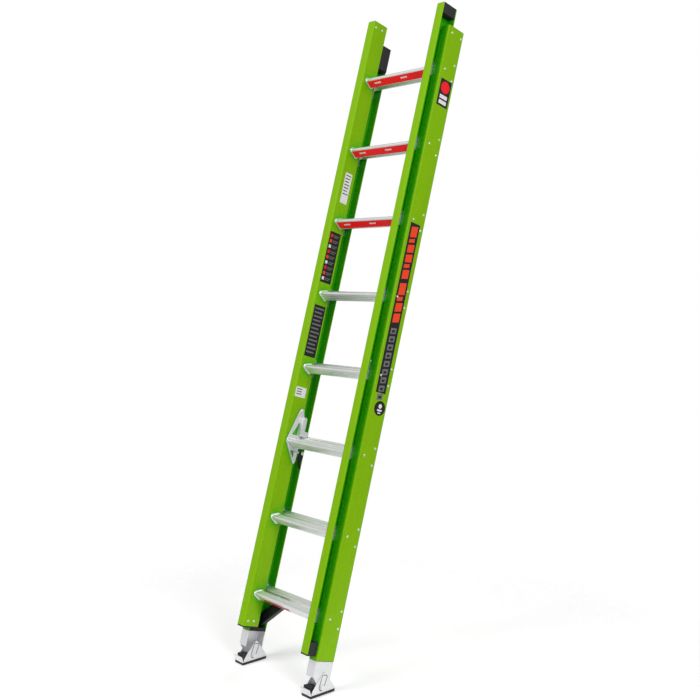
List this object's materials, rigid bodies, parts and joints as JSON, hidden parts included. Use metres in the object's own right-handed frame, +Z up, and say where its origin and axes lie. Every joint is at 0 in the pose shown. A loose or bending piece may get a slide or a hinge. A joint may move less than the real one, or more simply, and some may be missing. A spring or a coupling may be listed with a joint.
{
  "type": "extension ladder",
  "caption": "Two-section extension ladder with green glass-fibre rails, aluminium rungs, rung locks and swivel shoes, shown lowered and leaning.",
  "frame": {"origin": "on the floor, at the middle of the bounding box's base", "axes": "+Z up, +X across the ladder to the climber's right as they face it, +Y towards the wall that it leans on; the rails lean back 16 degrees"},
  "size_m": [0.4784, 0.8004, 2.5819],
  "materials": {
    "fibreglass_green": "glossy moulded glass-fibre rail in lime green",
    "aluminium_extruded": "bright mill-finish extrusion",
    "aluminium_cast": "satin cast and pressed aluminium",
    "zinc_steel": "bright zinc plate",
    "black_plastic": "fine-grained moulded black plastic",
    "black_steel": "semi-gloss black paint",
    "rubber": "matt black rubber tread"
  },
  "bodies": {
    "base_section": {"base_rail_left": "fibreglass_green", "base_rail_right": "fibreglass_green", "base_rung_1": "aluminium_extruded", "base_rung_2": "aluminium_extruded", "base_rung_3": "aluminium_extruded", "base_rung_4": "aluminium_extruded", "base_rung_5": "aluminium_extruded", "base_rung_6": "aluminium_extruded", "base_rung_7": "aluminium_extruded", "base_rung_8": "aluminium_extruded", "base_top_guide_left": "black_plastic", "base_top_guide_right": "black_plastic", "rung_brace_left": "black_steel", "rung_brace_right": "black_steel", "boot_left": "aluminium_cast", "boot_right": "aluminium_cast", "foot_bolt_left": "zinc_steel", "foot_bolt_right": "zinc_steel"},
    "fly_section": {"fly_rail_left": "fibreglass_green", "fly_rail_right": "fibreglass_green", "fly_rung_1": "aluminium_extruded", "fly_rung_2": "aluminium_extruded", "fly_rung_3": "aluminium_extruded", "fly_rung_4": "aluminium_extruded", "fly_rung_5": "aluminium_extruded", "fly_rung_6": "aluminium_extruded", "fly_rung_7": "aluminium_extruded", "fly_rung_8": "aluminium_extruded", "fly_top_cap_left": "black_plastic", "fly_top_cap_right": "black_plastic", "fly_bottom_guide_left": "black_plastic", "fly_bottom_guide_right": "black_plastic", "lock_bracket_left": "aluminium_cast", "lock_bracket_right": "aluminium_cast", "lock_bolt_left": "zinc_steel", "lock_bolt_right": "zinc_steel", "hook_pin_left": "zinc_steel", "hook_pin_right": "zinc_steel", "flipper_pin_left": "zinc_steel", "flipper_pin_right": "zinc_steel", "lock_spring_left": "zinc_steel", "lock_spring_right": "zinc_steel"},
    "hook_left": {"lock_hook_left": "aluminium_cast"},
    "flipper_left": {"lock_flipper_left": "black_steel"},
    "shoe_left": {"shoe_left": "aluminium_cast", "shoe_pad_left": "rubber"},
    "hook_right": {"lock_hook_right": "aluminium_cast"},
    "flipper_right": {"lock_flipper_right": "black_steel"},
    "shoe_right": {"shoe_right": "aluminium_cast", "shoe_pad_right": "rubber"}
  },
  "joints": [
    {"name": "fly_slide", "type": "slide", "parent": "base_section", "child": "fly_section", "axis": [0, 0.2756, 0.9613], "range_m": [0, 1.524]},
    {"name": "hook_swing_left", "type": "hinge", "parent": "fly_section", "child": "hook_left", "pos_m": [-0.161, -0.10061, 0.94358], "axis": [-1, 0, 0], "range_deg": [0, 22]},
    {"name": "flipper_swing_left", "type": "hinge", "parent": "fly_section", "child": "flipper_left", "pos_m": [-0.137, -0.13535, 0.81519], "axis": [-1, 0, 0], "range_deg": [0, 40], "stiffness_Nm_per_rad": 0.05},
    {"name": "shoe_swing_left", "type": "hinge", "parent": "base_section", "child": "shoe_left", "pos_m": [-0.231, -0.33818, 0.028], "axis": [1, 0, 0], "range_deg": [-35, 30]},
    {"name": "hook_swing_right", "type": "hinge", "parent": "fly_section", "child": "hook_right", "pos_m": [0.161, -0.10061, 0.94358], "axis": [-1, 0, 0], "range_deg": [0, 22]},
    {"name": "flipper_swing_right", "type": "hinge", "parent": "fly_section", "child": "flipper_right", "pos_m": [0.137, -0.13535, 0.81519], "axis": [-1, 0, 0], "range_deg": [0, 40], "stiffness_Nm_per_rad": 0.05},
    {"name": "shoe_swing_right", "type": "hinge", "parent": "base_section", "child": "shoe_right", "pos_m": [0.231, -0.33818, 0.028], "axis": [1, 0, 0], "range_deg": [-35, 30]}
  ]
}
